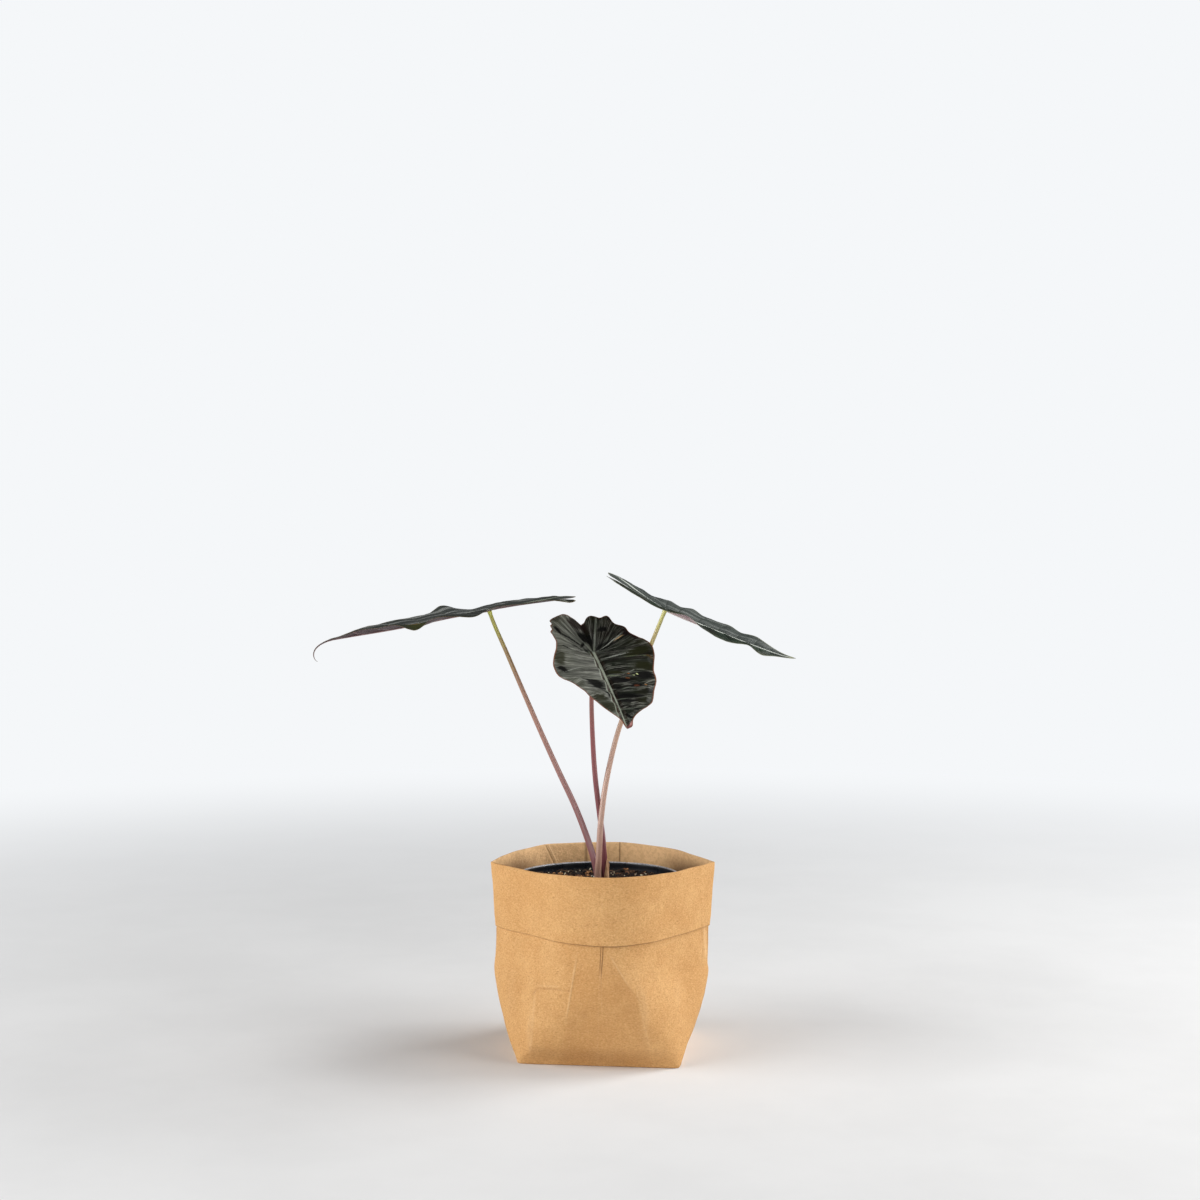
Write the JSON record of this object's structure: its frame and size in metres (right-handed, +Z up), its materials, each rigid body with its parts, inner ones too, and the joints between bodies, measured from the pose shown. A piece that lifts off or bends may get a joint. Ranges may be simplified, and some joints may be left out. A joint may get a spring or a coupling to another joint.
{
  "type": "potted alocasia",
  "caption": "Small potted aroid with glossy dark leaves on slender stalks, in a nursery pot inside a folded kraft paper bag with a turned-down cuff.",
  "frame": {"origin": "on the surface that the bag stands on, under the middle of the bag's mouth", "axes": "+Z up; -Y towards the front, the side that the picture shows; +X to the right in that view"},
  "size_m": [0.3104, 0.1652, 0.3067],
  "materials": {
    "kraft_paper": "matte tan kraft paper",
    "pot_plastic": "satin black thin plastic",
    "potting_mix": "rough dark peat, coir and bark",
    "root": "matte pale brown",
    "stalk_mauve": "smooth mauve brown, green at the top",
    "stalk_wine": "glossy deep wine red",
    "stalk_tan": "smooth pinkish tan, green at the top",
    "dry_sheath": "dry papery tan",
    "leaf": "glossy blackish green with pale silvery veins, purple beneath"
  },
  "bodies": {
    "root": {"paper_bag": "kraft_paper", "nursery_pot": "pot_plastic", "potting_mix": "potting_mix", "corm_with_roots": "root", "leaf_stalk_left": "stalk_mauve", "leaf_stalk_middle": "stalk_wine", "leaf_stalk_right": "stalk_tan", "dry_sheath": "dry_sheath", "leaf_blade_left": "leaf", "leaf_blade_middle": "leaf", "leaf_blade_right": "leaf"}
  },
  "joints": []
}
